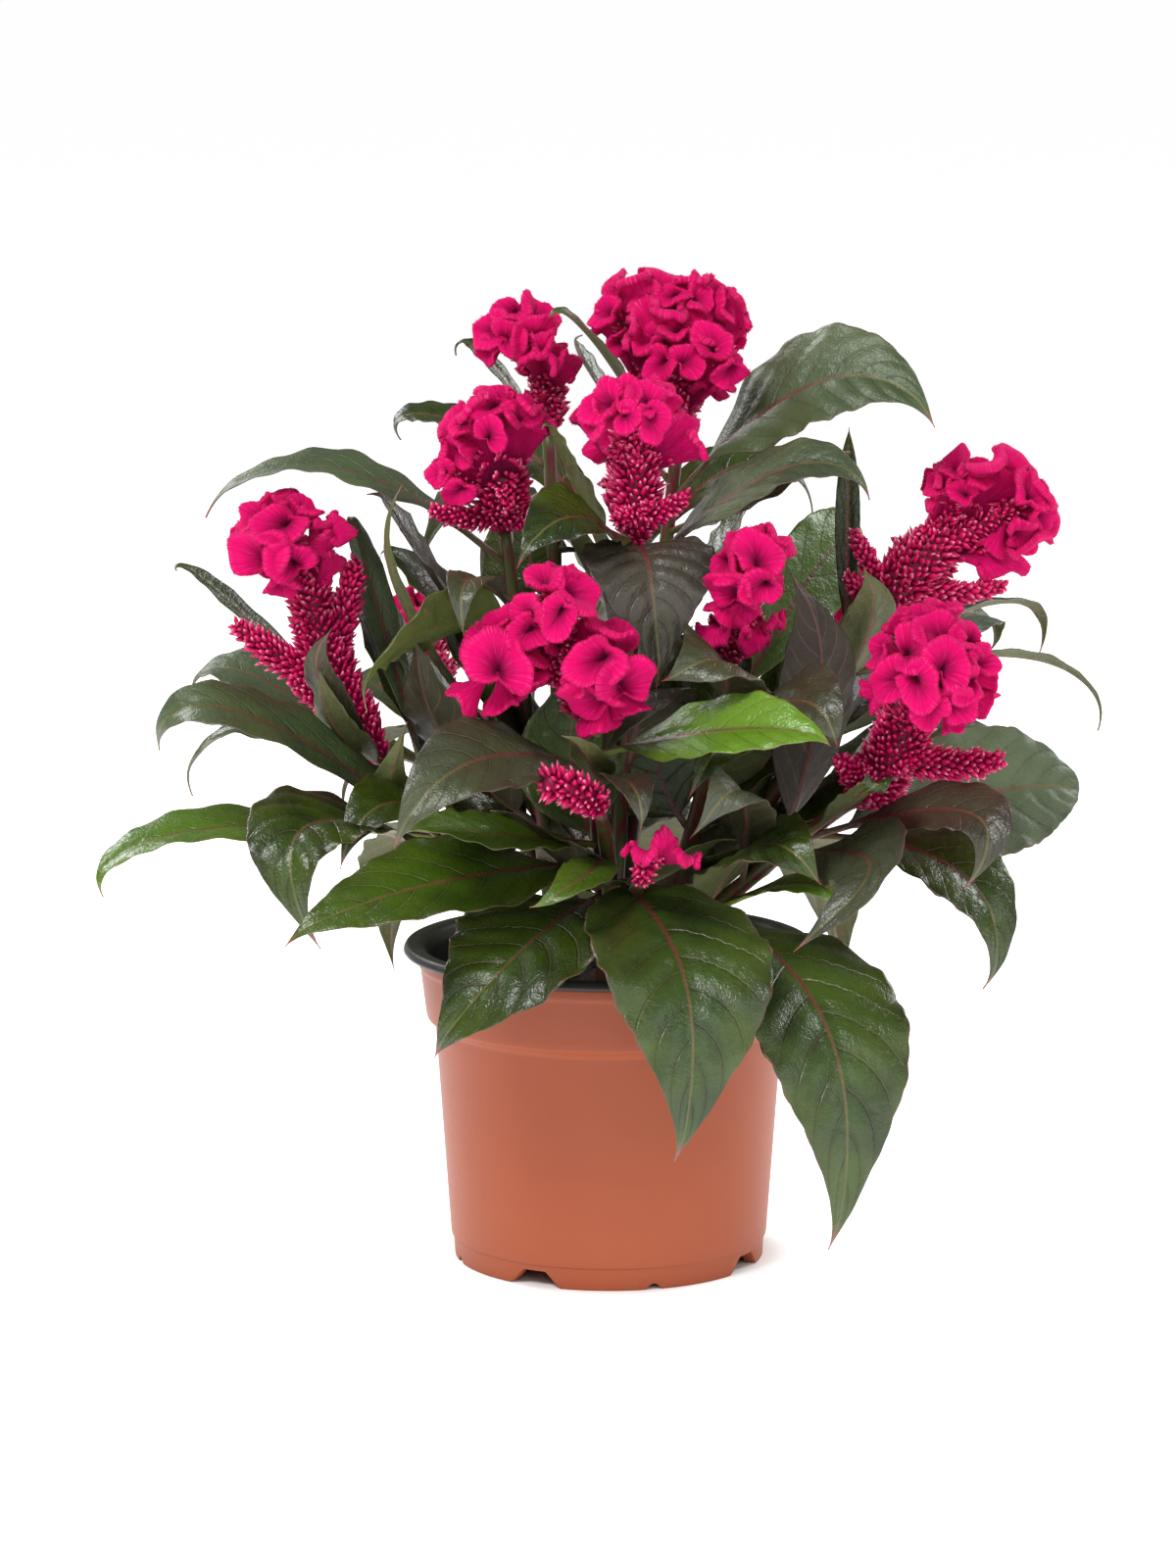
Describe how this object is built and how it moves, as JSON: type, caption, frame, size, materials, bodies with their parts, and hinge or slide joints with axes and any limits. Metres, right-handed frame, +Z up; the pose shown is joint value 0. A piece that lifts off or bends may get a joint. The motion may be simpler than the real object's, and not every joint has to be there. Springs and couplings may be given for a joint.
{
  "type": "potted cockscomb celosia",
  "caption": "Cockscomb celosia with crested flower heads and broad leaves, in a round lined nursery pot.",
  "frame": {"origin": "on the pot's axis, at the floor it stands on; it is also the middle of the whole plant's box", "axes": "+Z up the pot's axis; -Y towards the side with most flower heads; +X to the right as seen from there"},
  "size_m": [0.3135, 0.2449, 0.3138],
  "materials": {
    "terracotta_plastic": "satin moulded plastic, terracotta colour",
    "black_plastic": "smooth thin black plastic",
    "peat": "crumbly dark potting soil",
    "foliage": "dark green leaf, slightly waxy",
    "crest": "velvety magenta flower"
  },
  "bodies": {
    "root": {"pot": "terracotta_plastic", "pot_lining": "black_plastic", "soil": "peat", "plant_left": "foliage", "plant_front": "foliage", "plant_right": "foliage", "plant_back": "foliage", "head_top": "crest", "head_high_left": "crest", "head_upper_left": "crest", "head_centre": "crest", "head_left": "crest", "head_front": "crest", "head_mid_right": "crest", "head_high_right": "crest", "head_right": "crest", "head_low": "crest", "head_bud": "crest", "head_back_left": "crest", "head_back_middle": "crest", "head_back_right": "crest"}
  },
  "joints": []
}
